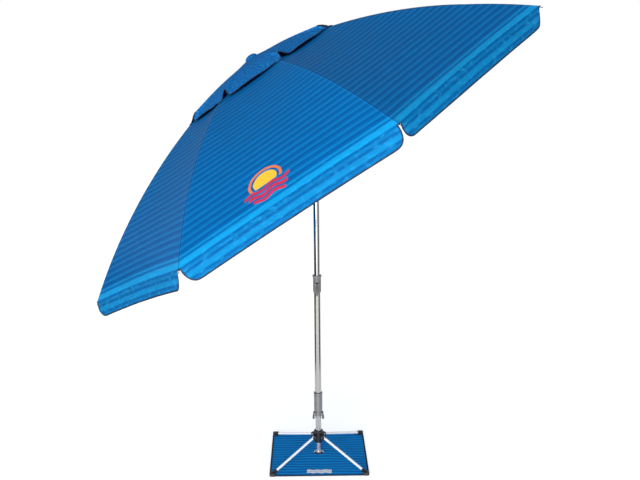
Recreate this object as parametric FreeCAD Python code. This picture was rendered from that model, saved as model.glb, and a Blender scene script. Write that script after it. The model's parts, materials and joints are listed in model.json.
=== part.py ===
import FreeCAD, Part
import math
import os

os.makedirs("parts", exist_ok=True)
V = FreeCAD.Vector

# Tilting beach umbrella with a fold-out square sand base.
# Millimetres. The mast stands on the Z axis, the foot rests on z = 0, the canopy leans towards -X.

# ---- driving dimensions -------------------------------------------------
TILT_DEG = 33.8          # lean of the canopy axis
TILT_Z = 1409.0          # height of the tilt pivot
APEX_S = 476.0           # cloth apex above the tilt pivot, along the canopy axis

N_RIBS = 8
RIB_AZ = -28.8           # azimuth of rib 1 in the canopy's own frame
ARC_R = 2275.0           # radius of the rib arc
ARC_START = 6.5          # slope of the arc at the axis, degrees
RIM_R = 1118.0           # canopy radius at a rib tip
CLOTH_T = 0.6
VENT_HOLE_R = 230.0      # opening under the vent cap
VENT_R = 380.0           # rim of the vent cap, at a rib
VALANCE = 70.0

RIB_W = 3.0              # rib strip, tangential
RIB_H = 6.5              # rib strip, height
RIB_GAP = 0.8            # rib top below the cloth
CROWN_R = 27.0           # rib pivots on the crown
CROWN_S = 463.0
BRACKET_R = 190.0        # stretcher pivot on the rib
STRETCHER_L = 200.0
RUNNER_PIVOT_R = 28.0
STRIP_OFF = 3.1          # stretcher plane beside the rib plane
STRIP_T = 2.4

TUBE_OD = 27.0           # upper, stub and anchor tubes
TUBE_ID = 24.6
MID_OD = 30.0
MID_ID = 27.6
PIN_D = 3.0

HUB_Z = 92.0             # leg pivots
HUB_R = 30.0
LEG_END = (290.0, 9.0)  # radial position and height of the leg's far end
LEG_D = 11.0
SHEET_HALF = 221.0       # half the side of the sand sheet


# ---- helpers ------------------------------------------------------------
def cyl(r, h, p=(0, 0, 0), d=(0, 0, 1)):
    return Part.makeCylinder(r, h, V(*p), V(*d))


def tube(ro, ri, z0, z1):
    return cyl(ro, z1 - z0, (0, 0, z0)).cut(cyl(ri, z1 - z0 + 2, (0, 0, z0 - 1)))


def box(x0, x1, y0, y1, z0, z1):
    return Part.makeBox(x1 - x0, y1 - y0, z1 - z0, V(x0, y0, z0))


def prism(pts, direction):
    w = Part.makePolygon([V(*p) for p in pts] + [V(*pts[0])])
    return Part.Face(w).extrude(V(*direction))


def turned(profile):
    # a closed outline of (radius, z) points turned about Z
    w = Part.makePolygon([V(r, 0, z) for r, z in profile] + [V(profile[0][0], 0, profile[0][1])])
    return Part.Face(w).revolve(V(0, 0, 0), V(0, 0, 1), 360)


def fuse(shapes):
    s = shapes[0]
    for t in shapes[1:]:
        s = s.fuse(t)
    return s.removeSplitter()


def to_canopy(s):
    s = s.copy()
    s.rotate(V(0, 0, 0), V(0, 1, 0), -TILT_DEG)
    s.translate(V(0, 0, TILT_Z))
    return s


def spun(s, deg):
    s = s.copy()
    s.rotate(V(0, 0, 0), V(0, 0, 1), deg)
    return s


def save(name, shape):
    solids = shape.Solids
    out = solids[0] if len(solids) == 1 else Part.makeCompound(solids)
    if not out.isValid():
        print("INVALID", name)
    print("%-16s %2d solids %10.0f mm3" % (name, len(solids), sum(x.Volume for x in solids)))
    out.exportStep("parts/%s.step" % name)


# ---- the canopy's profile in a rib plane ---------------------------------
A0 = math.radians(ARC_START)
ARC_C = (-ARC_R * math.sin(A0), APEX_S - ARC_R * math.cos(A0))


def cloth_z(r, rho=ARC_R):
    # height of an arc concentric with the cloth's underside
    return ARC_C[1] + math.sqrt(rho * rho - (r - ARC_C[0]) ** 2)


def arc_pt(rho, r):
    # point at radius rho on the same spoke as the cloth point at r
    q = math.asin((r - ARC_C[0]) / ARC_R)
    return (ARC_C[0] + rho * math.sin(q), ARC_C[1] + rho * math.cos(q))


# ======================= lower mast and base =============================
# centre post with a ball foot, seated in a round socket in the sheet
post = fuse([cyl(8.5, 80, (0, 0, 20)), Part.makeSphere(12.5, V(0, 0, 13.0))])
save("centre_post", post)

socket = turned([(0, 0), (23, 0), (23, 3.2), (17.5, 9), (0, 9)])
save("foot_socket", socket.cut(Part.makeSphere(12.55, V(0, 0, 13.0))))

# leg hub: boss with four forks on the diagonals
hub = cyl(19.5, 55, (0, 0, 63))
for k in range(4):
    a = 45 + 90 * k
    blade = fuse([
        Part.makeBox(HUB_R - 12, 16.6, 22, V(12, -8.3, HUB_Z - 11)),
        cyl(11, 16.6, (HUB_R, -8.3, HUB_Z), (0, 1, 0)),
    ])
    hub = hub.fuse(spun(blade, a))
hub = hub.fuse(cyl(21, 6, (0, 0, 112)))
for k in range(4):
    a = 45 + 90 * k
    hub = hub.cut(spun(box(21.5, 60, -4.3, 4.3, 50, 130), a))
    hub = hub.cut(spun(cyl(2.52, 40, (HUB_R, -20, HUB_Z), (0, 1, 0)), a))
hub = hub.cut(cyl(8.52, 40, (0, 0, 60))).cut(cyl(13.52, 40, (0, 0, 98.5)))
save("leg_hub", hub.removeSplitter())

pins = []
for k in range(4):
    pin = fuse([cyl(2.5, 18.6, (HUB_R, -9.3, HUB_Z), (0, 1, 0)), cyl(4, 1.5, (HUB_R, 8.4, HUB_Z), (0, 1, 0)), cyl(4, 1.5, (HUB_R, -9.9, HUB_Z), (0, 1, 0))])
    pins.append(spun(pin, 45 + 90 * k))
save("hub_pins", Part.makeCompound(pins))

# anchor tube between hub and coupling
save("anchor_tube", tube(TUBE_OD / 2, TUBE_ID / 2, 100.3, 268))

# coupling sleeve: neck with lugs for two release tabs, then the sleeve proper with a raised top ring
sleeve = turned([(13.55, 192), (16.2, 192), (16.2, 211.5), (19.2, 214), (19.2, 292), (20, 293.5), (20, 305), (19, 306), (15.05, 306), (15.05, 274), (13.9, 274), (13.9, 270), (13.55, 270)])
TAB_Z = 204.0
TAB_X = 20.2
for sx in (1, -1):
    for y0 in (-11.3, 8.3):
        lug = fuse([Part.makeBox(TAB_X - 12, 3, 7, V(12, y0, TAB_Z - 3.5)), cyl(3.5, 3, (TAB_X, y0, TAB_Z), (0, 1, 0))])
        lug = lug.cut(cyl(14, 40, (0, 0, 190)))
        lug = lug.cut(cyl(1.55, 10, (TAB_X, y0 - 3, TAB_Z), (0, 1, 0)))
        if sx < 0:
            lug = lug.mirror(V(0, 0, 0), V(1, 0, 0))
        sleeve = sleeve.fuse(lug)
save("coupling_sleeve", sleeve.removeSplitter())


def release_tab():
    body = prism([(17.6, -8, 206.5), (22.0, -8, 209.0), (23.2, -8, 204), (26.8, -8, 184), (26.8, -8, 179), (25.8, -8, 177), (17.6, -8, 177), (16.8, -8, 178), (16.8, -8, 188), (18.4, -8, 190), (17.7, -8, 197), (17.6, -8, 200)], (0, 16, 0))
    pin = cyl(1.5, 22.6, (TAB_X, -11.3, TAB_Z), (0, 1, 0))
    return fuse([body, pin])


tab = release_tab()
save("release_tab_right", tab)
save("release_tab_left", tab.mirror(V(0, 0, 0), V(1, 0, 0)))

save("middle_tube", tube(MID_OD / 2, MID_ID / 2, 274.5, 849.5))

# height collar clamps the upper tube; its lever hangs in front
LEV_Y, LEV_Z = -23.6, 824.0
collar = turned([(15.05, 782), (17.0, 782), (18.4, 790), (18.4, 850), (20.6, 853), (20.6, 859), (19.6, 861), (13.55, 861), (13.55, 850), (15.05, 850)])
for x0 in (-9.0, 5.6):
    ear = fuse([box(x0, x0 + 3.4, LEV_Y, -14, LEV_Z - 6, LEV_Z + 6), cyl(6, 3.4, (x0, LEV_Y, LEV_Z), (1, 0, 0))])
    ear = ear.cut(cyl(16.0, 60, (0, 0, 800)))
    ear = ear.cut(cyl(2.05, 8, (x0 - 2, LEV_Y, LEV_Z), (1, 0, 0)))
    collar = collar.fuse(ear)
# guide slot low in the front, where the lever's pad presses
collar = collar.cut(box(-2.5, 2.5, -30, -14, 786, 808))
save("height_collar", collar.removeSplitter())

lever = fuse([
    cyl(4.9, 10.4, (-5.2, LEV_Y, LEV_Z), (1, 0, 0)),
    prism([(-5.2, LEV_Y - 4.9, LEV_Z), (5.2, LEV_Y - 4.9, LEV_Z), (5.2, LEV_Y - 0.4, LEV_Z), (-5.2, LEV_Y - 0.4, LEV_Z)], (0, 0, -26)),
])
tongue = prism([(-5.2, LEV_Y - 4.9, LEV_Z - 26), (5.2, LEV_Y - 4.9, LEV_Z - 26), (2.6, LEV_Y - 4.9, LEV_Z - 54), (-2.6, LEV_Y - 4.9, LEV_Z - 54)], (0, 4.5, 0))
lever = fuse([lever, tongue, cyl(2.0, 18, (-9.0, LEV_Y, LEV_Z), (1, 0, 0))])
save("height_lever", lever)

# ======================= upper mast ======================================
save("upper_tube", tube(TUBE_OD / 2, TUBE_ID / 2, 640, 1360))
bush = turned([(8.9, 630), (13.75, 630), (13.75, 639.8), (12.25, 639.8), (12.25, 656), (8.9, 656)])
save("tube_bushing", bush)

BTN_Z = 1376.0
housing = turned([(0, 1391), (14, 1391), (18, 1387), (18, 1334), (16.4, 1330), (0, 1330)])
for y0 in (-15.2, 9.3):
    cheek = fuse([box(-17, 17, y0, y0 + 5.9, 1376, TILT_Z), cyl(17, 5.9, (0, y0, TILT_Z), (0, 1, 0))])
    housing = housing.fuse(cheek)
housing = housing.common(cyl(18, 140, (0, 0, 1310)))
housing = housing.cut(cyl(13.52, 31, (0, 0, 1329.5)))
housing = housing.cut(cyl(4.04, 60, (0, -30, TILT_Z), (0, 1, 0)))
housing = housing.cut(cyl(5.1, 12, (0, -20, BTN_Z), (0, 1, 0)))
save("tilt_housing", housing.removeSplitter())

tilt_pin = fuse([cyl(4.0, 31, (0, -15.5, TILT_Z), (0, 1, 0)), cyl(6.5, 2, (0, 15.4, TILT_Z), (0, 1, 0)), cyl(6.5, 2, (0, -17.4, TILT_Z), (0, 1, 0))])
save("tilt_pin", tilt_pin)
save("tilt_button", fuse([cyl(5.0, 8.5, (0, -20.6, BTN_Z), (0, 1, 0))]))

# ======================= head, in the canopy's own frame ==================
tongue = fuse([
    cyl(16.4, 17.8, (0, -8.9, 0), (0, 1, 0)),
    box(-15, 15, -8.9, 8.9, 0, 30),
    turned([(0, 24), (15, 24), (18, 28), (18, 60), (16.5, 62), (0, 62)]),
])
tongue = tongue.cut(cyl(13.52, 33, (0, 0, 31))).cut(cyl(4.05, 40, (0, -20, 0), (0, 1, 0)))
save("tilt_tongue", to_canopy(tongue))
save("stub_tube", to_canopy(tube(TUBE_OD / 2, TUBE_ID / 2, 31.5, 451)))

crown = turned([(0, 471), (34, 471), (36, 469), (36, 449), (18, 447), (16.5, 432), (0, 432)])
for k in range(N_RIBS):
    a = RIB_AZ - 45 * k
    crown = crown.cut(spun(box(20.5, 60, -2.3, 2.3, 430, 480), a))
    crown = crown.cut(spun(cyl(PIN_D / 2 + 0.02, 13, (CROWN_R, -6.5, CROWN_S), (0, 1, 0)), a))
crown = crown.cut(cyl(13.52, 21, (0, 0, 431.0)))
save("crown", to_canopy(crown.removeSplitter()))
save("crown_pins", to_canopy(Part.makeCompound([spun(cyl(PIN_D / 2, 12.6, (CROWN_R, -6.3, CROWN_S), (0, 1, 0)), RIB_AZ - 45 * k) for k in range(N_RIBS)])))

top_cap = turned([(0, 471.05), (8, 471.05), (8, 478.6), (24, 476.8), (28.5, 478), (28.5, 482), (26, 488), (20, 493), (11, 496.5), (0, 497.5)])
save("top_cap", to_canopy(top_cap))

# ---- rib linkage in the rib plane (x = radius, z along the axis) ----------
QZ = cloth_z(BRACKET_R) - RIB_GAP - RIB_H - 5.6
RUN_S = QZ - math.sqrt(STRETCHER_L ** 2 - (BRACKET_R - RUNNER_PIVOT_R) ** 2)


def arc_edge(rho, r0, r1, flip=False):
    rm = (r0 + r1) / 2
    p = [arc_pt(rho, q) for q in (r0, rm, r1)]
    if flip:
        p = p[::-1]
    return Part.Arc(*[V(x, 0, z) for x, z in p]).toShape()


def rib_shape():
    top, bot = ARC_R - RIB_GAP, ARC_R - RIB_GAP - RIB_H
    r0, r1 = 46.0, RIM_R - 2
    e1 = arc_edge(top, r0, r1)
    e3 = arc_edge(bot, r0, r1, True)
    pa, pb = arc_pt(top, r1), arc_pt(bot, r1)
    pc, pd = arc_pt(bot, r0), arc_pt(top, r0)
    e2 = Part.makeLine(V(pa[0], 0, pa[1]), V(pb[0], 0, pb[1]))
    e4 = Part.makeLine(V(pc[0], 0, pc[1]), V(pd[0], 0, pd[1]))
    band = Part.Face(Part.Wire([e1, e2, e3, e4])).extrude(V(0, RIB_W, 0))
    band.translate(V(0, -RIB_W / 2, 0))
    lug = cyl(4.2, 4.0, (CROWN_R, -2.0, CROWN_S), (0, 1, 0))
    pd2, pc2 = arc_pt(top, r0 + 4), arc_pt(bot, r0 + 4)
    neck = prism([(CROWN_R, -RIB_W / 2, CROWN_S + 4.2), (pd2[0], -RIB_W / 2, pd2[1] - 0.05), (pc2[0], -RIB_W / 2, pc2[1] + 0.05), (CROWN_R, -RIB_W / 2, CROWN_S - 4.2)], (0, RIB_W, 0))
    qb = cloth_z(BRACKET_R) - RIB_GAP - 3
    bracket = fuse([box(BRACKET_R - 4.2, BRACKET_R + 4.2, -RIB_W / 2, RIB_W / 2, QZ, qb), cyl(4.2, RIB_W, (BRACKET_R, -RIB_W / 2, QZ), (0, 1, 0))])
    # metal tip pin that runs on past the cloth
    m1 = arc_pt(ARC_R - RIB_GAP - RIB_H / 2, RIM_R - 24)
    m2 = arc_pt(ARC_R - RIB_GAP - RIB_H / 2, RIM_R)
    d = (m2[0] - m1[0], 0, m2[1] - m1[1])
    tip = cyl(1.4, 41, (m1[0], 0, m1[1]), d)
    rib = fuse([lug, neck, band, bracket, tip])
    rib = rib.cut(cyl(PIN_D / 2 + 0.05, 10, (CROWN_R, -5, CROWN_S), (0, 1, 0)))
    rib = rib.cut(cyl(1.5, 10, (BRACKET_R, -5, QZ), (0, 1, 0)))
    return rib


def stretcher_shape():
    dx, dz = BRACKET_R - RUNNER_PIVOT_R, QZ - RUN_S
    L = math.hypot(dx, dz)
    ux, uz = dx / L, dz / L
    nx, nz = -uz, ux
    y0 = STRIP_OFF - STRIP_T / 2
    h = 3.4

    def P(a, b):
        return (RUNNER_PIVOT_R + ux * a + nx * b, y0, RUN_S + uz * a + nz * b)

    strip = prism([P(0, -h), P(L, -h), P(L, h), P(0, h)], (0, STRIP_T, 0))
    eyes = [cyl(4.2, STRIP_T, (RUNNER_PIVOT_R, y0, RUN_S), (0, 1, 0)), cyl(4.2, STRIP_T, (BRACKET_R, y0, QZ), (0, 1, 0))]
    s = fuse([strip] + eyes)
    # flush rivet at the rib end, open eye at the runner end
    s = s.cut(cyl(1.5, 10, (RUNNER_PIVOT_R, -2, RUN_S), (0, 1, 0)))
    return fuse([s, cyl(1.45, STRIP_OFF + STRIP_T / 2 + 1.0, (BRACKET_R, -1.0, QZ), (0, 1, 0))])


def curve(pts, prm):
    c = Part.BSplineCurve()
    c.interpolate(Points=[V(*p) for p in pts], Parameters=prm)
    return c.toShape()


H = math.pi / N_RIBS
N = 9


def half_skin(r_in, r_out, z_rib, z_mid):
    # ruled cloth from the rib line to the seam-free middle of the panel
    prm = [i / (N - 1.0) for i in range(N)]
    rs = [r_in + (r_out - r_in) * t for t in prm]
    rib = [(r, 0, z_rib(r)) for r in rs]
    mid = []
    for r in rs:
        m = r * math.cos(H)
        mid.append((m * math.cos(H) + 0.15 * math.sin(H), m * math.sin(H) - 0.15 * math.cos(H), z_mid(r)))
    f = Part.makeRuledSurface(curve(rib, prm), curve(mid, prm))
    return f.extrude(V(0, 0, CLOTH_T))


def vent_rib(r):
    return cloth_z(r) + 1.5 + 4.0 * (r / VENT_R) ** 2


def vent_mid(r):
    return vent_rib(r) + 12.0 * (r / VENT_R) ** 2


def valance_half():
    # hangs from the hem, with a rounded corner beside the rib
    L = RIM_R * math.sin(H) - 0.15
    d = V(-math.sin(H), math.cos(H), 0)
    n = V(-math.cos(H), -math.sin(H), 0)
    zr = cloth_z(RIM_R) + 0.45
    out = [(5, 0), (7, 18), (12, 38), (22, 56), (38, 67), (58, VALANCE), (L, VALANCE), (L, 0)]
    pts = [V(RIM_R, 0, zr) + d * u + V(0, 0, -v) for u, v in out]
    w = Part.makePolygon(pts + [pts[0]])
    return Part.Face(w).extrude(n * CLOTH_T)


def mirror_y(s):
    return s.mirror(V(0, 0, 0), V(0, 1, 0))


def gore_shape():
    a = half_skin(VENT_HOLE_R, RIM_R, cloth_z, cloth_z)
    v = valance_half()
    main = a.fuse([mirror_y(a), v, mirror_y(v)])
    b = half_skin(12.0, VENT_R, vent_rib, vent_mid)
    vent = b.fuse([mirror_y(b)])
    return main, vent


rib0, str0 = rib_shape(), stretcher_shape()
main0, vent0 = gore_shape()
print("gore solids", len(main0.Solids), len(vent0.Solids), "valid", main0.isValid(), vent0.isValid())
for k in range(N_RIBS):
    a = RIB_AZ - 45 * k
    save("rib_%d" % (k + 1), to_canopy(spun(rib0, a)))
    save("stretcher_%d" % (k + 1), to_canopy(spun(str0, a)))
    save("gore_%d" % (k + 1), to_canopy(spun(Part.makeCompound(main0.Solids + vent0.Solids), a)))

# runner on the stub tube, slotted for the stretchers, with a latch button in front
runner = turned([(13.56, RUN_S - 24), (17.2, RUN_S - 24), (17.2, RUN_S - 9), (36, RUN_S - 7), (36, RUN_S + 7), (18, RUN_S + 9), (17, RUN_S + 13), (13.56, RUN_S + 13)])
boss = cyl(6.6, 9.5, (0, -24.5, RUN_S - 17), (0, 1, 0)).cut(cyl(16, 100, (0, 0, RUN_S - 60)))
runner = runner.fuse(boss).removeSplitter()
for k in range(N_RIBS):
    a = RIB_AZ - 45 * k
    runner = runner.cut(spun(box(20.2, 60, STRIP_OFF - 1.7, STRIP_OFF + 1.7, RUN_S - 40, RUN_S + 40), a))
runner = runner.cut(cyl(4.1, 18, (0, -30, RUN_S - 17), (0, 1, 0)))
save("runner", to_canopy(runner.removeSplitter()))
save("runner_button", to_canopy(cyl(4.0, 9.5, (0, -27.0, RUN_S - 17), (0, 1, 0))))

# ======================= folding legs and sand sheet ======================
LDX, LDZ = LEG_END[0] - HUB_R, LEG_END[1] - HUB_Z
LEG_L = math.hypot(LDX, LDZ)
LU = (LDX / LEG_L, LDZ / LEG_L)


def on_leg(t):
    return (HUB_R + LU[0] * t, 0, HUB_Z + LU[1] * t)


def leg_shape():
    eye = cyl(6, 8, (HUB_R, -4, HUB_Z), (0, 1, 0))
    nx, nz = -LU[1] * 3.6, LU[0] * 3.6
    a, b = on_leg(0), on_leg(16)
    tang = prism([(a[0] - nx, -4, a[2] - nz), (b[0] - nx, -4, b[2] - nz), (b[0] + nx, -4, b[2] + nz), (a[0] + nx, -4, a[2] + nz)], (0, 8, 0))
    rod = cyl(LEG_D / 2, LEG_L - 9 - 12.5, on_leg(12.5), (LU[0], 0, LU[1]))
    leg = fuse([eye, tang, rod])
    leg = leg.cut(cyl(LEG_D / 2 - 1.2, LEG_L - 30, on_leg(20), (LU[0], 0, LU[1])))
    return leg.cut(cyl(2.55, 20, (HUB_R, -10, HUB_Z), (0, 1, 0)))


CAP_IN = SHEET_HALF - 28


def cap_block(x0, x1, z0, z1):
    c = 5.0
    pts = [(x0, x0 + c, z0), (x0 + c, x0, z0), (x1 - c, x0, z0), (x1, x0 + c, z0), (x1, x1 - c, z0), (x1 - c, x1, z0), (x0 + c, x1, z0), (x0, x1 - c, z0)]
    return prism(pts, (0, 0, z1 - z0))


def cap_shape():
    block = spun(cap_block(CAP_IN, SHEET_HALF, 0, 12.5), -45)
    boss = cyl(7.6, 18, on_leg(LEG_L - 20), (LU[0], 0, LU[1]))
    cap = fuse([block, boss])
    return cap.cut(cyl(LEG_D / 2 + 0.03, 34, on_leg(LEG_L - 42.8), (LU[0], 0, LU[1])))


def sheet_shape():
    s = box(0.1, SHEET_HALF - 3, 0.1, SHEET_HALF - 3, 1.6, 2.2)
    s = s.cut(cyl(23.3, 10, (0, 0, -2)))
    s = s.cut(cap_block(CAP_IN - 0.3, SHEET_HALF + 20, -2, 20))
    return spun(s, -45)


leg0, cap0, sheet0 = leg_shape(), cap_shape(), sheet_shape()
for k, name in enumerate(("back_right", "back_left", "front_left", "front_right")):
    a = 45 + 90 * k
    save("leg_" + name, spun(leg0, a))
    save("cap_" + name, spun(cap0, a))
    save("sheet_" + name, spun(sheet0, a))

print("runner rest", RUN_S, "bracket", QZ, "leg", LEG_L, math.degrees(math.atan2(-LDZ, LDX)))
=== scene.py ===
import json
import math

import bpy
import numpy as np
from mathutils import Matrix, Vector

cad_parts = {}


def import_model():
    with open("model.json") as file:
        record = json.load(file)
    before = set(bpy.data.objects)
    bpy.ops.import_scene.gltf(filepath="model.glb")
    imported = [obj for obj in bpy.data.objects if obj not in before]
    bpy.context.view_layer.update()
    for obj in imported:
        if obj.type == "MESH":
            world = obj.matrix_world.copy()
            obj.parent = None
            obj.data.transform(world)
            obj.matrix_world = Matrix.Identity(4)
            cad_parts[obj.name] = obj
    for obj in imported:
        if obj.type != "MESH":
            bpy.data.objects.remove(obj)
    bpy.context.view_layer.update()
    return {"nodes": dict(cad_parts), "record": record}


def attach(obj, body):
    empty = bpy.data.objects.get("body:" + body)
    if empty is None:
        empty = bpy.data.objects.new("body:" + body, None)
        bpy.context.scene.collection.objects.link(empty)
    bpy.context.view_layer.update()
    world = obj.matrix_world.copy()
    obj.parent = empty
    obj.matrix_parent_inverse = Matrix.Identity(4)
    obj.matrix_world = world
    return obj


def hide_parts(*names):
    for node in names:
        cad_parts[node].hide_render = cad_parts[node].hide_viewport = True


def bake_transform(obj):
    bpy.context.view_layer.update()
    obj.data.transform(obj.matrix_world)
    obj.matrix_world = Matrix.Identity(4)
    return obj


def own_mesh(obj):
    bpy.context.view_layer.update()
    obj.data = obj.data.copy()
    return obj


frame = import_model()

# ------------------------------------------------------------------
# the canopy's own frame, as the CAD has it (millimetres in, metres out)
# ------------------------------------------------------------------
TILT = math.radians(33.8)
ORIGIN = np.array([0.0, 0.0, 1409.0])
EX = np.array([math.cos(TILT), 0.0, math.sin(TILT)])
EY = np.array([0.0, 1.0, 0.0])
EZ = np.array([-math.sin(TILT), 0.0, math.cos(TILT)])
N_RIBS = 8
RIB_AZ = math.radians(-28.8)
STEP = math.radians(45.0)
H = math.pi / N_RIBS
ARC_R = 2275.0
ARC_START = math.radians(6.5)
ARC_X = -ARC_R * math.sin(ARC_START)
ARC_Z = 476.0 - ARC_R * math.cos(ARC_START)
RIM_R, HOLE_R, VENT_R = 1118.0, 230.0, 380.0
LIFT = 0.6  # cloth's middle above the CAD cloth's underside


def world(p):
    """Canopy-frame millimetres to row-frame metres."""
    p = np.asarray(p, float)
    return (ORIGIN + p[..., 0:1] * EX + p[..., 1:2] * EY + p[..., 2:3] * EZ) / 1000.0


def arc_angle(r):
    return math.asin((r - ARC_X) / ARC_R)


def cloth_z(r):
    return ARC_Z + math.sqrt(ARC_R**2 - (r - ARC_X) ** 2)


TH0, TH1 = arc_angle(HOLE_R), arc_angle(RIM_R)
ARC_LEN = ARC_R * (TH1 - TH0)
HALF_W = RIM_R * math.sin(H)

# columns from a rib to the middle of the panel, as millimetres at the hem
COLS = [0, 2.5, 5, 8, 12, 17, 24, 33, 44, 58, 75, 97]
COLS = COLS + list(np.linspace(97, HALF_W, 16)[1:])
COLS = np.array(COLS)
T = COLS / HALF_W
M = len(COLS) - 1
NR = 44
NV = 7
V0 = 3  # first column of a valance
G = 16 * M


def crown_of(t):
    return 1.0 - (1.0 - t) ** 2


def column(g):
    """(rib number from 0, signed steps from it, t) of one of the columns round the canopy."""
    g = g % G
    k = int(round(g / (2.0 * M)))
    d = g - 2 * M * k
    return k % N_RIBS, d, T[abs(d)]


def spoke(k, side):
    a = RIB_AZ - STEP * k
    m = a - side * H
    rib = np.array([math.cos(a), math.sin(a)])
    mid = math.cos(H) * np.array([math.cos(m), math.sin(m)])
    return rib, mid, np.array([math.cos(m), math.sin(m)])


BOW = 19.0  # the hem is cut hollow between ribs


def panel_point(k, side, t, f, extra=0.0):
    """A point of the main cloth: f runs from the vent hole to the hem."""
    rib, mid, out = spoke(k, side)
    th = TH0 + f * (TH1 - BOW * crown_of(t) / ARC_R - TH0)
    rho = ARC_R + LIFT + extra
    r, z = ARC_X + rho * math.sin(th), ARC_Z + rho * math.cos(th)
    xy = r * (rib * (1 - t) + mid * t)
    sag = (13.0 * math.sin(math.pi * min(f, 1.0)) + 5.0 * f) * crown_of(t)
    n_out, n_up = math.sin(th), math.cos(th)
    return np.array([xy[0] - sag * n_out * out[0], xy[1] - sag * n_out * out[1], z - sag * n_up])


DEPTH_U = np.array([0, 8, 12, 17, 24, 33, 44, 58, 75, 97, 130, HALF_W])
DEPTH_V = np.array([0, 20, 35, 46, 54, 60, 63, 64, 64, 64, 64, 64])


def depth_at(u):
    return float(np.interp(u, DEPTH_U, DEPTH_V))


main_p = np.zeros((NR + 1, G, 3))
for g in range(G):
    k, d, t = column(g)
    side = 1 if d >= 0 else -1
    for i in range(NR + 1):
        main_p[i, g] = panel_point(k, side, t, i / NR)
val_p = np.zeros((NV, G, 3))
has_val = np.zeros(G, bool)
for g in range(G):
    k, d, t = column(g)
    if abs(d) < V0:
        continue
    has_val[g] = True
    side = 1 if d >= 0 else -1
    _, _, out = spoke(k, side)
    u = COLS[abs(d)]
    deep = depth_at(u)
    for j in range(NV):
        v = deep * (j + 1) / NV
        flare = -0.05 * v + 1.6 * math.sin(u / 31.0 + 1.7 * k) * v / 70.0
        val_p[j, g] = main_p[NR, g] + np.array([out[0] * flare, out[1] * flare, -v])

main_w, val_w = world(main_p), world(val_p)


# ------------------------------------------------------------------
# the cloth is cut to that pattern, pinned on the ribs, and hangs
# ------------------------------------------------------------------
def relax_canopy(main_w, val_w):
    verts, faces = [], []
    index = {}
    for i in range(NR + 1):
        for g in range(G):
            index[("m", i, g)] = len(verts)
            verts.append(main_w[i, g])
    for j in range(NV):
        for g in range(G):
            if has_val[g]:
                index[("v", j, g)] = len(verts)
                verts.append(val_w[j, g])
    for i in range(NR):
        for g in range(G):
            h = (g + 1) % G
            faces.append((index[("m", i, g)], index[("m", i + 1, g)], index[("m", i + 1, h)], index[("m", i, h)]))
    for g in range(G):
        h = (g + 1) % G
        if not (has_val[g] and has_val[h]):
            continue
        for j in range(NV):
            a = index[("m", NR, g)] if j == 0 else index[("v", j - 1, g)]
            b = index[("m", NR, h)] if j == 0 else index[("v", j - 1, h)]
            faces.append((a, index[("v", j, g)], index[("v", j, h)], b))
    me = bpy.data.meshes.new("relax")
    me.from_pydata([tuple(v) for v in verts], [], faces)
    ob = bpy.data.objects.new("relax", me)
    bpy.context.scene.collection.objects.link(ob)
    pins = ob.vertex_groups.new(name="pins")
    fixed = [index[("m", 0, g)] for g in range(G)]
    for g in range(G):
        if column(g)[1] == 0:
            fixed += [index[("m", i, g)] for i in range(NR + 1)]
    pins.add(sorted(set(fixed)), 1.0, "REPLACE")
    mod = ob.modifiers.new("cloth", "CLOTH")
    s = mod.settings
    s.quality = 8
    s.mass = 0.02
    s.tension_stiffness = 60
    s.compression_stiffness = 60
    s.shear_stiffness = 20
    s.bending_stiffness = 0.6
    s.tension_damping = 15
    s.compression_damping = 15
    s.shear_damping = 10
    s.air_damping = 3
    s.vertex_group_mass = "pins"
    mod.collision_settings.use_collision = False
    mod.collision_settings.use_self_collision = False
    mod.point_cache.frame_start, mod.point_cache.frame_end = 1, 24
    scene = bpy.context.scene
    for f in range(1, 19):
        scene.frame_set(f)
    dg = bpy.context.evaluated_depsgraph_get()
    out = ob.evaluated_get(dg).to_mesh()
    co = np.zeros(len(out.vertices) * 3)
    out.vertices.foreach_get("co", co)
    co = co.reshape(-1, 3)
    scene.frame_set(1)
    bpy.data.objects.remove(ob)
    bpy.data.meshes.remove(me)
    new_main, new_val = main_w.copy(), val_w.copy()
    for (kind, i, g), n in index.items():
        if kind == "m":
            new_main[i, g] = co[n]
        else:
            new_val[i, g] = co[n]
    # no point moves further than cloth of this cut could
    for old, new in ((main_w, new_main), (val_w, new_val)):
        move = new - old
        size = np.linalg.norm(move, axis=-1, keepdims=True)
        cap = 0.022 if old is main_w else 0.045
        new[:] = old + move * np.minimum(1.0, cap / np.maximum(size, 1e-9))
    return new_main, new_val


main_w, val_w = relax_canopy(main_w, val_w)


# ------------------------------------------------------------------
# materials
# ------------------------------------------------------------------
def srgb(r, g, b):
    def c(x):
        x /= 255.0
        return x / 12.92 if x <= 0.04045 else ((x + 0.055) / 1.055) ** 2.4

    return (c(r), c(g), c(b), 1.0)


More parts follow.
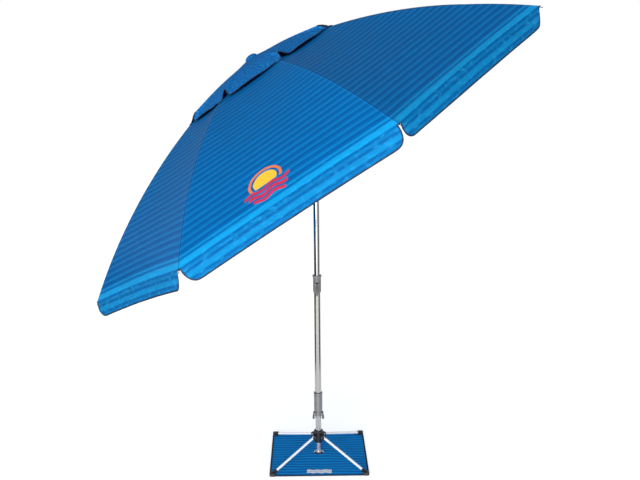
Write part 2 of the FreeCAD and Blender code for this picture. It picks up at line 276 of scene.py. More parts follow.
class Nodes:
    def __init__(self, name):
        self.mat = bpy.data.materials.new(name)
        self.mat.use_nodes = True
        self.t = self.mat.node_tree
        self.t.nodes.clear()
        self.out = self.t.nodes.new("ShaderNodeOutputMaterial")
        self.bsdf = self.t.nodes.new("ShaderNodeBsdfPrincipled")
        self.link(self.bsdf.outputs[0], self.out.inputs[0])

    def link(self, a, b):
        self.t.links.new(a, b)

    def put(self, value, socket):
        if isinstance(value, bpy.types.NodeSocket):
            self.link(value, socket)
        else:
            socket.default_value = value

    def math(self, op, a, b=0.0, c=0.0, clamp=False):
        n = self.t.nodes.new("ShaderNodeMath")
        n.operation = op
        n.use_clamp = clamp
        self.put(a, n.inputs[0])
        self.put(b, n.inputs[1])
        self.put(c, n.inputs[2])
        return n.outputs[0]

    def mix(self, f, a, b):
        n = self.t.nodes.new("ShaderNodeMix")
        n.data_type = "RGBA"
        self.put(f, n.inputs[0])
        self.put(a, n.inputs[6])
        self.put(b, n.inputs[7])
        return n.outputs[2]

    def ramp(self, f, stops, interpolation="LINEAR"):
        n = self.t.nodes.new("ShaderNodeValToRGB")
        n.color_ramp.interpolation = interpolation
        e = n.color_ramp.elements
        while len(e) < len(stops):
            e.new(0.5)
        for i, (p, c) in enumerate(stops):
            e[i].position = p
            e[i].color = c if len(c) == 4 else (*c, 1.0)
        self.put(f, n.inputs[0])
        return n.outputs[0]

    def noise(self, vector, scale, detail=3.0, rough=0.5):
        n = self.t.nodes.new("ShaderNodeTexNoise")
        self.put(vector, n.inputs["Vector"])
        n.inputs["Scale"].default_value = scale
        n.inputs["Detail"].default_value = detail
        n.inputs["Roughness"].default_value = rough
        return n.outputs[0]

    def coords(self, which="Object"):
        n = self.t.nodes.new("ShaderNodeTexCoord")
        return n.outputs[which]

    def uv(self, name):
        n = self.t.nodes.new("ShaderNodeUVMap")
        n.uv_map = name
        s = self.t.nodes.new("ShaderNodeSeparateXYZ")
        self.link(n.outputs[0], s.inputs[0])
        return n.outputs[0], s.outputs[0], s.outputs[1]

    def scaled(self, vector, xyz):
        n = self.t.nodes.new("ShaderNodeMapping")
        self.link(vector, n.inputs["Vector"])
        n.inputs["Scale"].default_value = xyz
        return n.outputs[0]

    def bump(self, height, strength, distance, normal=None):
        n = self.t.nodes.new("ShaderNodeBump")
        n.inputs["Strength"].default_value = strength
        n.inputs["Distance"].default_value = distance
        self.put(height, n.inputs["Height"])
        if normal is not None:
            self.link(normal, n.inputs["Normal"])
        return n.outputs[0]

    def set(self, **kw):
        for k, v in kw.items():
            self.put(v, self.bsdf.inputs[k.replace("_", " ")])
        return self


def band(m, x, centre, half, soft):
    """1 inside centre +- half, falling to 0 over soft."""
    d = m.math("ABSOLUTE", m.math("SUBTRACT", x, centre))
    return m.math("DIVIDE", m.math("SUBTRACT", half + soft, d), soft, clamp=True)


PITCH = 0.0315  # between the thin woven stripes


def weave(m, uv, scale=900.0):
    """Fine plain weave as a height."""
    s = m.t.nodes.new("ShaderNodeSeparateXYZ")
    m.link(uv, s.inputs[0])
    a = m.math("SINE", m.math("MULTIPLY", s.outputs[0], scale * 2 * math.pi))
    b = m.math("SINE", m.math("MULTIPLY", s.outputs[1], scale * 2 * math.pi))
    return m.math("MULTIPLY", a, b)


def cloth_material(name, emblem=False):
    m = Nodes(name)
    uv, u, v = m.uv("Panel")
    _, seam, _ = m.uv("Seam")
    slub = m.noise(m.scaled(uv, (9.0, 260.0, 1.0)), 1.0, 4.0, 0.6)
    blotch = m.noise(m.scaled(uv, (6.0, 6.0, 1.0)), 1.0, 3.0, 0.6)
    # thin lighter stripes above the hem zone
    ph = m.math("FRACT", m.math("DIVIDE", m.math("ADD", v, 10.0 * PITCH), PITCH))
    line = band(m, ph, 0.5, 0.13, 0.10)
    # narrow half-tone beside each line
    half = m.math("MULTIPLY", band(m, ph, 0.80, 0.10, 0.10), 0.30)
    lines = m.math("MAXIMUM", line, half)
    upper = m.math("GREATER_THAN", v, 0.058)
    lines = m.math("MULTIPLY", lines, upper)
    # broad bright bands at hem and valance
    b1 = band(m, v, 0.018, 0.009, 0.009)
    b2 = m.math("MULTIPLY", band(m, v, -0.034, 0.006, 0.007), 0.7)
    b3 = m.math("MULTIPLY", band(m, v, 0.047, 0.003, 0.005), 0.6)
    b4 = m.math("MULTIPLY", band(m, v, -0.010, 0.003, 0.005), 0.4)
    b5 = m.math("MULTIPLY", band(m, v, -0.056, 0.002, 0.005), 0.3)
    bands = m.math("MAXIMUM", m.math("MAXIMUM", b1, b2), m.math("MAXIMUM", b3, m.math("MAXIMUM", b4, b5)))
    deep, light, cyan = srgb(0, 86, 153), srgb(5, 112, 178), srgb(14, 144, 206)
    low = m.math("LESS_THAN", v, 0.058)
    base = m.mix(m.math("MULTIPLY", low, 0.40), deep, srgb(0, 100, 166))
    col = m.mix(lines, base, light)
    col = m.mix(bands, col, cyan)
    # painted highlight by the hem: pale streaks on the creases stand in for light shining through the thin, creased
    # cloth and glinting on its wrinkles
    crease = m.noise(m.scaled(uv, (26.0, 60.0, 1.0)), 1.0, 5.0, 0.65)
    near = m.math("DIVIDE", m.math("SUBTRACT", 0.055, v), 0.05, clamp=True)
    streak = m.math("MULTIPLY", m.math("DIVIDE", m.math("SUBTRACT", crease, 0.52), 0.16, clamp=True), near)
    col = m.mix(m.math("MULTIPLY", streak, 0.42), col, srgb(40, 170, 232))
    tone = m.math("MULTIPLY", m.math("SUBTRACT", slub, 0.5), 0.55)
    tone = m.math("ADD", tone, m.math("MULTIPLY", m.math("SUBTRACT", blotch, 0.5), 0.16))
    # painted shade: the valance below the hem is made darker than the rest of the cloth
    valance_shade = m.math("DIVIDE", m.math("SUBTRACT", 0.004, v), 0.012, clamp=True)
    tone = m.math("SUBTRACT", tone, m.math("MULTIPLY", valance_shade, 0.17))
    hsv = m.t.nodes.new("ShaderNodeHueSaturation")
    m.put(m.math("ADD", 1.0, tone), hsv.inputs["Value"])
    m.put(col, hsv.inputs["Color"])
    col = hsv.outputs[0]
    # the sewn seam over the rib: a folded edge and two rows of stitches
    ad = m.math("ABSOLUTE", seam)
    fold = band(m, ad, 0.0, 0.0030, 0.0012)
    stitch = m.math("MULTIPLY", band(m, ad, 0.0058, 0.0005, 0.0004), m.math("GREATER_THAN", m.math("FRACT", m.math("MULTIPLY", v, 260.0)), 0.35))
    above = m.math("GREATER_THAN", v, 0.0)
    col = m.mix(m.math("MULTIPLY", m.math("MULTIPLY", fold, 0.35), above), col, srgb(0, 58, 112))
    col = m.mix(m.math("MULTIPLY", m.math("MULTIPLY", stitch, 0.5), above), col, srgb(60, 140, 200))
    if emblem:
        # a plain sun over waves
        x = m.math("DIVIDE", m.math("SUBTRACT", u, EMBLEM[0]), 0.092)
        y = m.math("DIVIDE", m.math("SUBTRACT", v, EMBLEM[1]), 0.078)
        r = m.math("SQRT", m.math("ADD", m.math("POWER", x, 2.0), m.math("POWER", m.math("SUBTRACT", y, 0.25), 2.0)))
        sun = m.math("MULTIPLY", band(m, r, 0.0, 0.50, 0.03), m.math("GREATER_THAN", y, 0.0))
        ring = band(m, r, 0.68, 0.045, 0.02)
        ring = m.math("MULTIPLY", ring, m.math("GREATER_THAN", y, 0.0))
        col = m.mix(sun, col, srgb(236, 190, 60))
        col = m.mix(ring, col, srgb(226, 120, 60))
        wob = m.math("MULTIPLY", m.math("SINE", m.math("MULTIPLY", x, 7.0)), 0.07)
        for n, y0 in enumerate((-0.18, -0.45, -0.72)):
            w = band(m, m.math("ADD", y, wob), y0, 0.065, 0.03)
            w = m.math("MULTIPLY", w, band(m, x, 0.0, 0.98 - 0.16 * n, 0.03))
            col = m.mix(w, col, srgb(196, 44, 74))
    w = weave(m, uv)
    h = m.math("ADD", m.math("MULTIPLY", w, 0.00006), m.math("MULTIPLY", slub, 0.00035))
    h = m.math("ADD", h, m.math("MULTIPLY", fold, 0.0009))
    h = m.math("ADD", h, m.math("MULTIPLY", m.math("MULTIPLY", crease, near), 0.010))
    n = m.bump(h, 0.6, 1.0)
    rough = m.math("ADD", 0.52, m.math("MULTIPLY", m.math("SUBTRACT", blotch, 0.5), 0.14))
    m.set(Base_Color=col, Roughness=rough, Normal=n)
    m.bsdf.inputs["Specular IOR Level"].default_value = 0.04
    return m.mat


def vent_material():
    m = Nodes("vent_cloth")
    uv, u, v = m.uv("Panel")
    a = m.noise(m.scaled(uv, (95.0, 130.0, 1.0)), 1.0, 4.0, 0.78)
    b = m.noise(m.scaled(uv, (40.0, 60.0, 1.0)), 1.0, 2.0, 0.6)
    ph = m.math("FRACT", m.math("DIVIDE", m.math("ADD", v, 1.0), 0.0105))
    line = m.math("MULTIPLY", band(m, ph, 0.5, 0.18, 0.16), 0.5)
    col = m.ramp(a, [(0.34, srgb(0, 72, 146)), (0.5, srgb(10, 112, 192)), (0.66, srgb(66, 166, 236))])
    col = m.mix(m.math("MULTIPLY", line, 0.55), col, srgb(30, 112, 180))
    col = m.mix(m.math("MULTIPLY", b, 0.35), col, srgb(2, 68, 132))
    h = m.math("ADD", m.math("MULTIPLY", a, 0.0006), m.math("MULTIPLY", weave(m, uv, 600.0), 0.00008))
    m.set(Base_Color=col, Roughness=0.8, Normal=m.bump(h, 0.6, 1.0))
    m.bsdf.inputs["Specular IOR Level"].default_value = 0.03
    return m.mat


def vent_object_material():
    """The same cloth over the finial, from the object's own coordinates."""
    m = Nodes("finial_cloth")
    o = m.coords()
    a = m.noise(o, 190.0, 4.0, 0.75)
    col = m.ramp(a, [(0.32, srgb(0, 68, 136)), (0.5, srgb(10, 98, 170)), (0.70, srgb(52, 142, 210))])
    m.set(Base_Color=col, Roughness=0.8, Normal=m.bump(a, 0.5, 0.0008))
    m.bsdf.inputs["Specular IOR Level"].default_value = 0.05
    return m.mat


def tape_material(name, colour, light):
    m = Nodes(name)
    o = m.coords()
    a = m.noise(o, 900.0, 2.0, 0.6)
    b = m.noise(o, 60.0, 2.0, 0.5)
    col = m.mix(m.math("MULTIPLY", a, 0.5), colour, light)
    m.set(Base_Color=col, Roughness=m.math("ADD", 0.55, m.math("MULTIPLY", b, 0.2)), Normal=m.bump(a, 0.35, 0.0005))
    return m.mat


def net_and_shade_material():
    m = Nodes("net_and_painted_shade")
    o = m.coords()
    v = m.t.nodes.new("ShaderNodeTexVoronoi")
    m.put(o, v.inputs["Vector"])
    v.inputs["Scale"].default_value = 420.0
    # near black: the net's own colour plus painted shade under the vent cap's rim
    col = m.ramp(v.outputs[0], [(0.0, srgb(1, 3, 12)), (0.6, srgb(5, 12, 34))])
    m.set(Base_Color=col, Roughness=0.9, Normal=m.bump(v.outputs[0], 0.4, 0.0006))
    m.bsdf.inputs["Specular IOR Level"].default_value = 0.02
    return m.mat


def sand_material():
    m = Nodes("sand_sheet_cloth")
    uv, u, v = m.uv("Panel")
    warp = m.noise(m.scaled(uv, (7.0, 5.0, 1.0)), 1.0, 2.0, 0.5)
    ph = m.math("FRACT", m.math("ADD", m.math("DIVIDE", m.math("ADD", v, m.math("MULTIPLY", warp, 0.022)), 0.0245), 20.0))
    line = band(m, ph, 0.5, 0.17, 0.16)
    slub = m.noise(m.scaled(uv, (14.0, 300.0, 1.0)), 1.0, 4.0, 0.6)
    blotch = m.noise(m.scaled(uv, (12.0, 12.0, 1.0)), 1.0, 3.0, 0.6)
    col = m.mix(m.math("MULTIPLY", line, 0.8), srgb(2, 112, 180), srgb(22, 158, 234))
    # small plain white waves near the front edge
    wob = m.math("MULTIPLY", m.math("SINE", m.math("MULTIPLY", u, 170.0)), 0.0026)
    mark = 0.0
    for y0 in (-0.171, -0.188):
        one = band(m, m.math("ADD", v, wob), y0, 0.0072, 0.0008)
        mark = one if mark == 0.0 else m.math("MAXIMUM", mark, one)
    mark = m.math("MULTIPLY", mark, band(m, u, 0.0, 0.054, 0.002))
    col = m.mix(mark, col, (0.96, 0.96, 0.97, 1))
    hsv = m.t.nodes.new("ShaderNodeHueSaturation")
    tone = m.math("ADD", m.math("MULTIPLY", m.math("SUBTRACT", slub, 0.5), 0.5), m.math("MULTIPLY", m.math("SUBTRACT", blotch, 0.5), 0.2))
    m.put(m.math("ADD", 1.0, tone), hsv.inputs["Value"])
    m.put(col, hsv.inputs["Color"])
    h = m.math("ADD", m.math("MULTIPLY", weave(m, uv, 700.0), 0.00008), m.math("MULTIPLY", slub, 0.0004))
    m.set(Base_Color=hsv.outputs[0], Roughness=0.75, Normal=m.bump(h, 0.6, 1.0))
    m.bsdf.inputs["Specular IOR Level"].default_value = 0.06
    return m.mat


def metal_material(name, colour, rough, along=(1.0, 1.0, 0.02), streak=0.06, grain=900.0):
    m = Nodes(name)
    o = m.coords()
    a = m.noise(m.scaled(o, along), grain, 3.0, 0.6)
    b = m.noise(o, 26.0, 3.0, 0.6)
    c = m.noise(o, 190.0, 2.0, 0.5)
    r = m.math("ADD", rough, m.math("MULTIPLY", m.math("SUBTRACT", a, 0.5), streak * 2))
    r = m.math("ADD", r, m.math("MULTIPLY", m.math("SUBTRACT", b, 0.5), 0.10))
    tint = tuple(x * 0.82 for x in colour[:3]) + (1.0,)
    col = m.mix(m.math("MULTIPLY", c, 0.5), colour, tint)
    m.set(Base_Color=col, Roughness=m.math("MAXIMUM", r, 0.05), Normal=m.bump(a, 0.08, 0.0004))
    m.bsdf.inputs["Metallic"].default_value = 1.0
    return m.mat


def plastic_material(name, colour, rough, grain=1400.0, metal=0.0):
    m = Nodes(name)
    o = m.coords()
    a = m.noise(o, grain, 2.0, 0.5)
    b = m.noise(o, 40.0, 3.0, 0.6)
    geo = m.t.nodes.new("ShaderNodeNewGeometry")
    edge = m.ramp(geo.outputs["Pointiness"], [(0.52, (0, 0, 0, 1)), (0.60, (1, 1, 1, 1))])
    worn = tuple(min(1.0, x * 1.8 + 0.03) for x in colour[:3]) + (1.0,)
    dusty = tuple(min(1.0, x * 1.25 + 0.006) for x in colour[:3]) + (1.0,)
    col = m.mix(m.math("MULTIPLY", b, 0.5), colour, dusty)
    sep = m.t.nodes.new("ShaderNodeSeparateColor")
    m.link(edge, sep.inputs[0])
    col = m.mix(m.math("MULTIPLY", sep.outputs[0], 0.5), col, worn)
    m.set(Base_Color=col, Roughness=m.math("ADD", rough, m.math("MULTIPLY", m.math("SUBTRACT", b, 0.5), 0.18)), Normal=m.bump(a, 0.25, 0.0003))
    m.bsdf.inputs["Metallic"].default_value = metal
    return m.mat


EMBLEM = (0.045, 0.112)
MAT_CLOTH = cloth_material("canopy_cloth")
MAT_EMBLEM = cloth_material("canopy_cloth_emblem", emblem=True)
MAT_VENT = vent_material()
MAT_TAPE = tape_material("hem_tape", srgb(2, 22, 50), srgb(10, 44, 84))
MAT_NET_AND_SHADE = net_and_shade_material()
MAT_SAND = sand_material()
MAT_EDGE = tape_material("edge_tape", srgb(6, 8, 13), srgb(22, 30, 44))

SLOT_MAT = {
    "polished_tube": metal_material("polished_tube", (0.47, 0.465, 0.46, 1), 0.09, streak=0.02),
    "satin_tube": metal_material("satin_tube", (0.46, 0.455, 0.44, 1), 0.15, streak=0.03),
    # leg tubes: the near-white base is partly the tubes' pale finish and partly painted reflection of the studio
    # light along them
    "leg_tube": plastic_material("leg_tube", (0.90, 0.91, 0.92, 1), 0.30, grain=700.0),
    "stretcher_metal": metal_material("stretcher_metal", (0.56, 0.56, 0.58, 1), 0.32, along=(1, 1, 1)),
    "steel_pins": metal_material("steel_pins", (0.60, 0.59, 0.57, 1), 0.28, along=(1, 1, 1)),
    "grey_plastic": plastic_material("grey_plastic", srgb(104, 104, 104), 0.36),
    "black_plastic": plastic_material("black_plastic", srgb(11, 12, 15), 0.42),
    "rib_rod": plastic_material("rib_rod", srgb(24, 25, 30), 0.25, grain=500.0),
}
NODE_MAT = {
    "coupling_sleeve": metal_material("coupling_sleeve_paint", (0.26, 0.26, 0.265, 1), 0.38, streak=0.05),
    "top_cap": vent_object_material(),
    "height_lever": plastic_material("lever_dark", srgb(40, 40, 42), 0.36),
    "centre_post": plastic_material("post_metal", (0.50, 0.49, 0.49, 1), 0.30, grain=700.0, metal=0.45),
    "foot_socket": plastic_material("socket_dark", srgb(24, 34, 56), 0.45),
    "release_tab_right": plastic_material("tab_dark", srgb(58, 58, 58), 0.4),
}
NODE_MAT["release_tab_left"] = NODE_MAT["release_tab_right"]
slot_of = {s["node"]: s["material_slot"] for s in frame["record"]["subparts"]}
for name, ob in frame["nodes"].items():
    mat = NODE_MAT.get(name) or SLOT_MAT.get(slot_of[name])
    if mat is None:
        continue
    if not ob.material_slots:
        ob.data.materials.append(mat)
    for s in ob.material_slots:
        s.material = mat


# ------------------------------------------------------------------
# mesh helpers
# ------------------------------------------------------------------
def new_mesh(name, verts, faces, mats, smooth=True, face_mats=None):
    me = bpy.data.meshes.new(name)
    me.from_pydata([tuple(map(float, v)) for v in verts], [], faces)
    for m in mats:
        me.materials.append(m)
    if smooth:
        me.polygons.foreach_set("use_smooth", [True] * len(me.polygons))
    if face_mats is not None:
        me.polygons.foreach_set("material_index", face_mats)
    me.update()
    ob = bpy.data.objects.new(name, me)
    bpy.context.scene.collection.objects.link(ob)
    return ob


def loop_uv(ob, name, values):
    """values: one list of (u, v) per face, in the face's corner order."""
    layer = ob.data.uv_layers.new(name=name)
    flat = [x for face in values for uv in face for x in uv]
    layer.data.foreach_set("uv", flat)


def tape(name, path, normals, half_wide, half_thick, mat, inward=0.0, closed=False, sides=8):
    """A folded binding: an oval section swept along a path, lying in the cloth."""
    p = np.asarray(path, float)
    n = np.asarray(normals, float)
    tangent = np.gradient(p, axis=0)
    tangent /= np.maximum(np.linalg.norm(tangent, axis=1, keepdims=True), 1e-12)
    n = n - (n * tangent).sum(1, keepdims=True) * tangent
    n /= np.maximum(np.linalg.norm(n, axis=1, keepdims=True), 1e-12)
    b = np.cross(tangent, n)
    verts, faces = [], []
    for i in range(len(p)):
        for s in range(sides):
            a = 2 * math.pi * s / sides
            verts.append(p[i] + b[i] * (half_wide * math.cos(a) + inward) + n[i] * half_thick * math.sin(a))
    for i in range(len(p) - 1):
        for s in range(sides):
            q = (s + 1) % sides
            faces.append((i * sides + s, i * sides + q, (i + 1) * sides + q, (i + 1) * sides + s))
    faces.append(tuple(range(sides))[::-1])
    faces.append(tuple((len(p) - 1) * sides + s for s in range(sides)))
    return new_mesh(name, verts, faces, [mat])


def vertex_normals(ob):
    me = ob.data
    out = np.zeros(len(me.vertices) * 3)
    me.vertices.foreach_get("normal", out)
    return out.reshape(-1, 3)


def area_of(ob):
    return sum(p.area for p in ob.data.polygons)


def with_rib(ob, k):
    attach(ob, "rib_%d" % (k + 1))
    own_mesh(ob)


def v_of_row(i, t):
    return (1 - i / NR) * (ARC_LEN - BOW * crown_of(t)) / 1000.0


def gore(k):
    g0 = 2 * M * k
    verts, index = [], {}

    def vid(kind, i, d):
        key = (kind, i, d)
        if key not in index:
            g = (g0 + d) % G
            index[key] = len(verts)
            verts.append(main_w[i, g] if kind == "m" else val_w[i, g])
        return index[key]

    faces, mats, uv_panel, uv_seam = [], [], [], []

    def uvs(kind, i, d, side):
        t = T[abs(d)]
        if kind == "m":
            v = v_of_row(i, t)
            th = TH0 + i / NR * (TH1 - TH0)
            r = ARC_X + ARC_R * math.sin(th)
            w = r * math.sin(H)
        else:
            v = -depth_at(COLS[abs(d)]) * (i + 1) / NV / 1000.0
            w = HALF_W
        u_rib = w * t / 1000.0
        # distance from the panel's middle, positive towards the next rib
        u_pan = (-(w / 1000.0 - u_rib)) if side > 0 else (w / 1000.0 - u_rib)
        return (u_pan, v), (u_rib * side, v)

    def quad(cells, side):
        faces.append(tuple(vid(*c) for c in cells))
        mats.append(1 if (k, side) in ((1, 1), (2, -1)) else 0)
        pair = [uvs(*c, side) for c in cells]
        uv_panel.append([p[0] for p in pair])
        uv_seam.append([p[1] for p in pair])

    for d in range(-M, M):
        side = 1 if d >= 0 else -1
        for i in range(NR):
            quad([("m", i, d), ("m", i + 1, d), ("m", i + 1, d + 1), ("m", i, d + 1)], side)
        if min(abs(d), abs(d + 1)) >= V0 and (d >= 0) == (d + 1 > 0):
            for j in range(NV):
                a = ("m", NR, d) if j == 0 else ("v", j - 1, d)
                b = ("m", NR, d + 1) if j == 0 else ("v", j - 1, d + 1)
                quad([a, ("v", j, d), ("v", j, d + 1), b], side)
    ob = new_mesh("gore_cloth_%d" % (k + 1), verts, faces, [MAT_CLOTH, MAT_EMBLEM], face_mats=mats)
    loop_uv(ob, "Panel", uv_panel)
    loop_uv(ob, "Seam", uv_seam)
    nrm = vertex_normals(ob)
    # the hem's binding, from panel middle to panel middle
    edge = [("v", NV - 1, d) for d in range(-M, -V0 + 1)]
    edge += [("v", j, -V0) for j in range(NV - 2, -1, -1)]
    edge += [("m", NR, d) for d in range(-V0, V0 + 1)]
    edge += [("v", j, V0) for j in range(0, NV - 1)]
    edge += [("v", NV - 1, d) for d in range(V0, M + 1)]
    ids = [index[e] for e in edge]
    trim = tape("hem_tape_%d" % (k + 1), [verts[n] for n in ids], nrm[ids], 0.0026, 0.0011, MAT_TAPE)
    return ob, trim


def vent_edge_r(u, side):
    """The vent cap's rim is sewn down over each rib, and cut back beside it on one side."""
    back = 40.0 * math.exp(-(((u - 27.0) / 12.0) ** 2)) if side < 0 else 3.0 * math.exp(-(((u - 30.0) / 12.0) ** 2))
    return VENT_R - back - 4.0 * crown_of(min(1.0, u / VHALF))


def vent_lift(u, side):
    """How far the rim stands off the main cloth beyond the sewn tab."""
    rise = min(1.0, max(0.0, (u - 8.0) / 14.0))
    rise = rise * rise * (3 - 2 * rise)
    peak = 23.0 * math.exp(-(((u - 28.0) / 15.0) ** 2)) if side < 0 else 1.5 * math.exp(-(((u - 36.0) / 16.0) ** 2))
    slit = 2.4 * max(0.0, min(1.0, (u - 78.0) / 34.0))
    return rise * (peak + slit)


def vent_point(k, side, t, r):
    rib, mid, out = spoke(k, side)
    u = t * VHALF
    q = r / VENT_R
    z = cloth_z(r) + 2.0 + 10.0 * math.sin(math.pi * min(1.0, q)) ** 1.2 + 8.0 * math.exp(-((r / 58.0) ** 2)) + 0.5 * q * q + vent_lift(u, side) * q**3
    xy = r * (rib * (1 - t) + mid * t)
    return np.array([xy[0], xy[1], z])


NVR = 22
VHALF = VENT_R * math.sin(H)
VU = np.array([0, 4, 9, 14, 18, 22, 26, 30, 34, 38, 43, 49, 56, 66, 80, 95, 111, 128, VHALF])
VT = VU / VHALF
VM = len(VU) - 1


def vent(k):
    verts, index, rim, foot = [], {}, [], []
    for d in range(-VM, VM + 1):
        side = 1 if d >= 0 else -1
        t, u = VT[abs(d)], VU[abs(d)]
        r1 = vent_edge_r(u, side)
        for i in range(NVR + 1):
            r = 12.0 + (r1 - 12.0) * (i / NVR)
            index[(i, d)] = len(verts)
            verts.append(world(vent_point(k, side, t, r)))
    faces, uvp = [], []
    for d in range(-VM, VM):
        side = 1 if d >= 0 else -1
        for i in range(NVR):
            cells = [(i, d), (i + 1, d), (i + 1, d + 1), (i, d + 1)]
            faces.append(tuple(index[c] for c in cells))
            row = []
            for (a, b) in cells:
                r = 12.0 + (vent_edge_r(VU[abs(b)], side) - 12.0) * (a / NVR)
                row.append(((1 - VT[abs(b)]) * r * math.sin(H) / 1000.0 * -side, (VENT_R - r) / 1000.0))
            uvp.append(row)
    ob = new_mesh("vent_cloth_%d" % (k + 1), verts, faces, [MAT_VENT])
    loop_uv(ob, "Panel", uvp)
    nrm = vertex_normals(ob)
    ids = [index[(NVR, d)] for d in range(-VM, VM + 1)]
    trim = tape("vent_tape_%d" % (k + 1), [verts[n] for n in ids], nrm[ids], 0.0024, 0.0011, MAT_TAPE)
    # the net between the cap's rim and the main cloth, near black: partly the net's own dark colour, partly painted
    # shade under the rim
    mv, mf = [], []
    for n, d in enumerate(range(-VM, VM + 1)):
        side = 1 if d >= 0 else -1
        t, u = VT[abs(d)], VU[abs(d)]
        top = world(vent_point(k, side, t, vent_edge_r(u, side) - 5.0) - np.array([0, 0, 0.9]))
        f = (arc_angle(vent_edge_r(u, side) - 6.0) - TH0) / (TH1 - TH0)
        g = 2 * M * k + side * float(np.interp(t, T, np.arange(M + 1)))
        gi = int(math.floor(g))
        fr = g - gi
        row = f * NR
        ri, rf = int(row), row - int(row)
        low = sum(
            main_w[ri + a, (gi + b) % G] * (rf if a else 1 - rf) * (fr if b else 1 - fr)
            for a in (0, 1)
            for b in (0, 1)
        )
        low = low + EZ * 0.0008
        for s in range(4):
            mv.append(top + (low - top) * s / 3)
        if n:
            for s in range(3):
                q = (n - 1) * 4 + s
                mf.append((q, q + 1, q + 5, q + 4))
    net = new_mesh("net_and_shade_strip_%d" % (k + 1), mv, mf, [MAT_NET_AND_SHADE])
    return ob, trim, net


for k in range(N_RIBS):
    cloth, trim = gore(k)
    cap, cap_trim, net = vent(k)
    for o in (cloth, trim):
        with_rib(o, k)
    for o in (cap, cap_trim, net):
        with_rib(o, k)
    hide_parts("gore_%d" % (k + 1))

# ------------------------------------------------------------------
# sand sheet, one quarter per leg
# ------------------------------------------------------------------
IN, OUT, CAP_AT = 0.0, 0.218, 0.1927
LINE = np.concatenate([np.linspace(IN, CAP_AT, 25), np.linspace(CAP_AT, OUT, 6)[1:]])


def sand_z(x, y):
    r = math.hypot(x, y)
    rise = 0.0052 * math.exp(-((r / 0.062) ** 2))
    ripple = 0.0007 * math.sin(31 * x + 17 * y) * math.sin(23 * y - 9 * x + 1.0) * min(1.0, r / 0.08)
    edge = min(OUT - abs(x), OUT - abs(y))
    return 0.0022 + rise + max(-0.0006, ripple) * min(1.0, edge / 0.03)


def sand_quarter(name, sx, sy):
    verts, index, faces, uvp = [], {}, [], []
    n = len(LINE)

    def vid(i, j):
        if (i, j) not in index:
            x, y = LINE[i], LINE[j]
            r = math.hypot(x, y)
            if r < 0.0233:
                x, y = x * 0.0233 / max(r, 1e-6), y * 0.0233 / max(r, 1e-6)
            index[(i, j)] = len(verts)
            verts.append((x * sx, y * sy, sand_z(x, y)))
        return index[(i, j)]

    for i in range(n - 1):
        for j in range(n - 1):
            if math.hypot(LINE[i + 1], LINE[j + 1]) < 0.0240:
                continue
            if LINE[i] >= CAP_AT - 1e-6 and LINE[j] >= CAP_AT - 1e-6:
                continue
            cells = [(i, j), (i + 1, j), (i + 1, j + 1), (i, j + 1)]
            if sx * sy < 0:
                cells = cells[::-1]
            faces.append(tuple(vid(*c) for c in cells))
            uvp.append([(verts[vid(*c)][0], verts[vid(*c)][1]) for c in cells])
    ob = new_mesh("sand_cloth_" + name, verts, faces, [MAT_SAND])
    loop_uv(ob, "Panel", uvp)
    area = area_of(ob)
    trims = []
    last = n - 1
    upto = [q for q in range(n) if LINE[q] <= CAP_AT + 1e-6]
    for tag, keys in (("a", [(last, q) for q in upto]), ("b", [(q, last) for q in upto])):
        path = [Vector(verts[index[c]]) for c in keys]
        path = [Vector((p.x, p.y, p.z + 0.0002)) for p in path]
        trims.append(tape("sand_edge_%s_%s" % (name, tag), path, [(0, 0, 1)] * len(path), 0.0040, 0.0016, MAT_EDGE))
    return ob, trims, area


for name, sx, sy in (("back_right", 1, 1), ("back_left", -1, 1), ("front_left", -1, -1), ("front_right", 1, -1)):
    cloth, trims, area = sand_quarter(name, sx, sy)
    for o in [cloth] + trims:
        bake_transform(o)
    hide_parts("sheet_" + name)

# ------------------------------------------------------------------
# floor, light, camera
# ------------------------------------------------------------------
floor_mat = Nodes("floor")
fo = floor_mat.coords()
fn = floor_mat.noise(fo, 3.0, 3.0, 0.5)
floor_mat.set(Base_Color=floor_mat.ramp(fn, [(0.3, (0.86, 0.86, 0.86, 1)), (0.7, (0.90, 0.90, 0.90, 1))]), Roughness=0.85)
floor_mat.bsdf.inputs["Emission Color"].default_value = (1, 1, 1, 1)
floor_mat.bsdf.inputs["Emission Strength"].default_value = 0.58
floor_mat.bsdf.inputs["Specular IOR Level"].default_value = 0.1
floor = new_mesh("floor", [(-14, -10, -0.0006), (14, -10, -0.0006), (14, 22, -0.0006), (-14, 22, -0.0006)], [(0, 1, 2, 3)], [floor_mat.mat], smooth=False)

scene = bpy.context.scene
scene.view_settings.view_transform = "Standard"
scene.view_settings.look = "None"
w = bpy.data.worlds.new("studio")
scene.world = w
w.use_nodes = True
wt = w.node_tree
wt.nodes.clear()
wo = wt.nodes.new("ShaderNodeOutputWorld")
wb = wt.nodes.new("ShaderNodeBackground")
wb.inputs[0].default_value = (1.0, 1.0, 1.0, 1.0)
wb.inputs[1].default_value = 1.0
# the studio: bright in front on the left, dimmer above and behind
wd = wt.nodes.new("ShaderNodeTexCoord")
wv = wt.nodes.new("ShaderNodeVectorMath")
wv.operation = "DOT_PRODUCT"
wv.inputs[1].default_value = (-0.05, -0.97, -0.05)
wt.links.new(wd.outputs["Generated"], wv.inputs[0])
wr = wt.nodes.new("ShaderNodeMapRange")
wr.inputs["From Min"].default_value = -0.6
wr.inputs["From Max"].default_value = 1.0
wr.inputs["To Min"].default_value = 0.57
wr.inputs["To Max"].default_value = 0.92
wt.links.new(wv.outputs["Value"], wr.inputs["Value"])
wb2 = wt.nodes.new("ShaderNodeBackground")
wt.links.new(wr.outputs[0], wb2.inputs[1])
wl = wt.nodes.new("ShaderNodeLightPath")
wm = wt.nodes.new("ShaderNodeMixShader")
wt.links.new(wl.outputs["Is Camera Ray"], wm.inputs[0])
wt.links.new(wb2.outputs[0], wm.inputs[1])
wt.links.new(wb.outputs[0], wm.inputs[2])
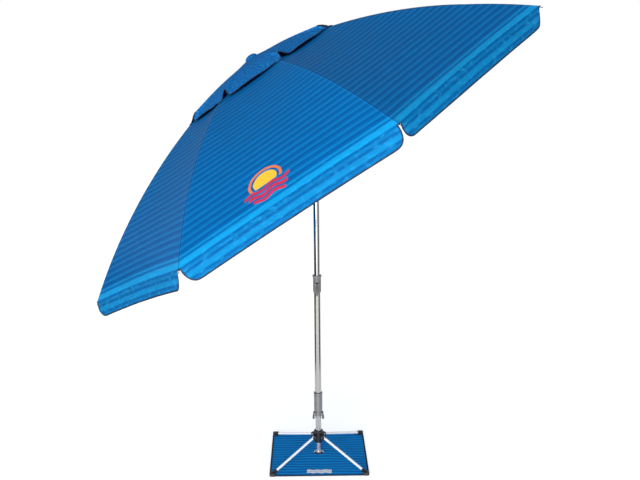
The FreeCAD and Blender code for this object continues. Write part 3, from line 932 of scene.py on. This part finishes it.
wt.links.new(wm.outputs[0], wo.inputs[0])


def area_light(name, place, aim, size, power, colour=(1, 1, 1)):
    li = bpy.data.lights.new(name, "AREA")
    li.shape = "RECTANGLE"
    li.size, li.size_y = size
    li.energy = power
    li.color = colour
    ob = bpy.data.objects.new(name, li)
    scene.collection.objects.link(ob)
    ob.location = place
    ob.rotation_mode = "QUATERNION"
    ob.rotation_quaternion = (Vector(aim) - Vector(place)).to_track_quat("-Z", "Y")
    return ob


area_light("key", (-1.1, -5.5, 1.2), (0.1, -0.3, 1.4), (2.4, 2.0), 225)


def flag(name, a, b, z0, z1):
    """A dark card that only the polished tubes reflect."""
    fm = Nodes(name)
    fm.set(Base_Color=(0.015, 0.015, 0.015, 1.0), Roughness=1.0)
    fm.bsdf.inputs["Specular IOR Level"].default_value = 0.0
    ob = new_mesh(name, [(a[0], a[1], z0), (b[0], b[1], z0), (b[0], b[1], z1), (a[0], a[1], z1)], [(0, 1, 2, 3)], [fm.mat], smooth=False)
    ob.visible_camera = ob.visible_diffuse = ob.visible_shadow = ob.visible_transmission = False
    return ob


flag("flag_left", (-1.45, -2.60), (-3.0, 0.2), 0.0, 2.6)
flag("flag_right", (2.70, -1.30), (3.0, -0.40), 0.0, 2.6)

flag("flag_low_left", (-1.04, -0.60), (-1.13, 0.41), 0.0, 1.0)
flag("flag_low_right", (0.95, -0.74), (1.18, 0.10), 0.0, 1.0)

cam = bpy.data.cameras.new("camera")
cam_ob = bpy.data.objects.new("camera", cam)
scene.collection.objects.link(cam_ob)
cam.sensor_width = 36.0
cam.lens = 842.417 / 640.0 * 36.0
cam.shift_x = (320.0 - 307.716) / 640.0
pitch, roll = math.radians(11.953), math.radians(-0.7026)
cam_ob.matrix_world = (
    Matrix.Translation((-0.03921, -3.64587, 1.79274))
    @ Matrix.Rotation(math.radians(90.0) - pitch, 4, "X")
    @ Matrix.Rotation(roll, 4, "Z")
)
cam.clip_start, cam.clip_end = 0.05, 200.0
scene.camera = cam_ob

bpy.context.view_layer.update()
